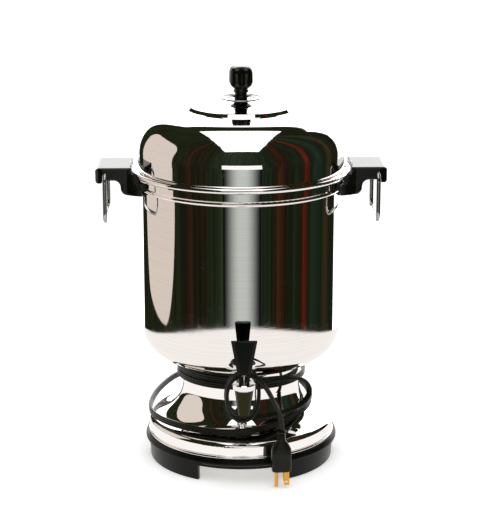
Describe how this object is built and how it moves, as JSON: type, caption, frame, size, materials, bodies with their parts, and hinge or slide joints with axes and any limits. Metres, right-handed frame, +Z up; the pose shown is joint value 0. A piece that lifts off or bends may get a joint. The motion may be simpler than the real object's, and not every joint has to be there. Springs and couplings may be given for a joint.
{
  "type": "coffee urn",
  "caption": "Tall polished steel percolator urn with a domed lid, side handles with hanging bails, a lever tap, a flared base and its flat cord wound round it.",
  "frame": {"origin": "middle of the object's box (cord left out) on the table, under the feet", "axes": "+Z up, -Y out of the front through the tap, +X to the right seen from the front"},
  "size_m": [0.361, 0.3573, 0.5021],
  "materials": {
    "polished_stainless": "mirror polished stainless steel",
    "bright_chrome": "bright chromium plate",
    "drawn_stainless": "drawn stainless steel",
    "pale_metal": "turned, slightly dull",
    "black_phenolic": "moulded black phenolic, satin",
    "foot_plastic": "moulded black, matt",
    "cord_rubber": "black flexible jacket",
    "seal_rubber": "moulded seal",
    "lamp_jewel": "clear amber-red jewel",
    "brass_prongs": "bright brass",
    "perforated_aluminium": "drawn aluminium",
    "terminal_plastic": "moulded heat-proof plastic",
    "lead_sleeve": "braided glass sleeve"
  },
  "bodies": {
    "root": {"vessel": "polished_stainless", "tap_ferrule": "bright_chrome", "handle_screws": "drawn_stainless", "left_handle": "black_phenolic", "right_handle": "black_phenolic", "tap_gasket": "seal_rubber", "union_nut": "bright_chrome", "tap_body": "bright_chrome", "tap_bonnet": "bright_chrome", "base_shell": "bright_chrome", "neck_gasket": "seal_rubber", "pilot_lamp_bezel": "bright_chrome", "pilot_lamp_lens": "lamp_jewel", "lamp_nut": "drawn_stainless", "base_ring": "foot_plastic", "bottom_cover": "drawn_stainless", "cover_screws": "drawn_stainless", "tie_rod": "drawn_stainless", "tie_nut": "drawn_stainless", "heater_plate": "perforated_aluminium", "thermostat": "drawn_stainless", "terminal_block": "terminal_plastic", "heater_leads": "lead_sleeve", "tap_spring": "drawn_stainless", "strain_relief": "cord_rubber", "power_cord": "cord_rubber", "plug_body": "cord_rubber", "plug_prongs": "brass_prongs"},
    "lid_assembly": {"lid": "polished_stainless", "lid_locating_ring": "drawn_stainless", "knob_foot": "black_phenolic", "knob_heat_shield": "bright_chrome", "knob": "black_phenolic", "knob_screw": "drawn_stainless"},
    "percolator": {"pump_foot": "perforated_aluminium", "pump_tube": "perforated_aluminium", "tube_collar": "perforated_aluminium"},
    "coffee_basket": {"basket": "perforated_aluminium"},
    "basket_lid": {"basket_cover": "perforated_aluminium"},
    "left_bail": {"left_ring": "bright_chrome"},
    "right_bail": {"right_ring": "bright_chrome"},
    "valve_stem": {"tap_stem": "pale_metal", "seat_cup": "seal_rubber"},
    "lever": {"tap_lever": "black_phenolic", "lever_pin": "pale_metal"}
  },
  "joints": [
    {"name": "lid_lift", "type": "slide", "parent": "root", "child": "lid_assembly", "axis": [0, 0, 1], "range_m": [0, 0.2]},
    {"name": "percolator_lift", "type": "slide", "parent": "root", "child": "percolator", "axis": [0, 0, 1], "range_m": [0, 0.03]},
    {"name": "basket_lift", "type": "slide", "parent": "percolator", "child": "coffee_basket", "axis": [0, 0, 1], "range_m": [0, 0.02]},
    {"name": "basket_lid_lift", "type": "slide", "parent": "coffee_basket", "child": "basket_lid", "axis": [0, 0, 1], "range_m": [0, 0.015]},
    {"name": "left_bail_swing", "type": "hinge", "parent": "root", "child": "left_bail", "pos_m": [-0.168, 0.01885, 0.3735], "axis": [0, -1, 0], "range_deg": [-215, 38]},
    {"name": "right_bail_swing", "type": "hinge", "parent": "root", "child": "right_bail", "pos_m": [0.168, 0.01885, 0.3735], "axis": [0, 1, 0], "range_deg": [-215, 38]},
    {"name": "stem_lift", "type": "slide", "parent": "root", "child": "valve_stem", "axis": [0, 0, 1], "range_m": [0, 0.0033], "deforming": ["tap_spring"]},
    {"name": "lever_pull", "type": "hinge", "parent": "valve_stem", "child": "lever", "pos_m": [0, -0.14315, 0.1585], "axis": [1, 0, 0], "range_deg": [0, 30], "stiffness_Nm_per_rad": 0.03, "springref_deg": -22.92}
  ],
  "couplings": [
    {"joint": "stem_lift", "follows": "lever_pull", "m_per_rad": 0.0063}
  ]
}
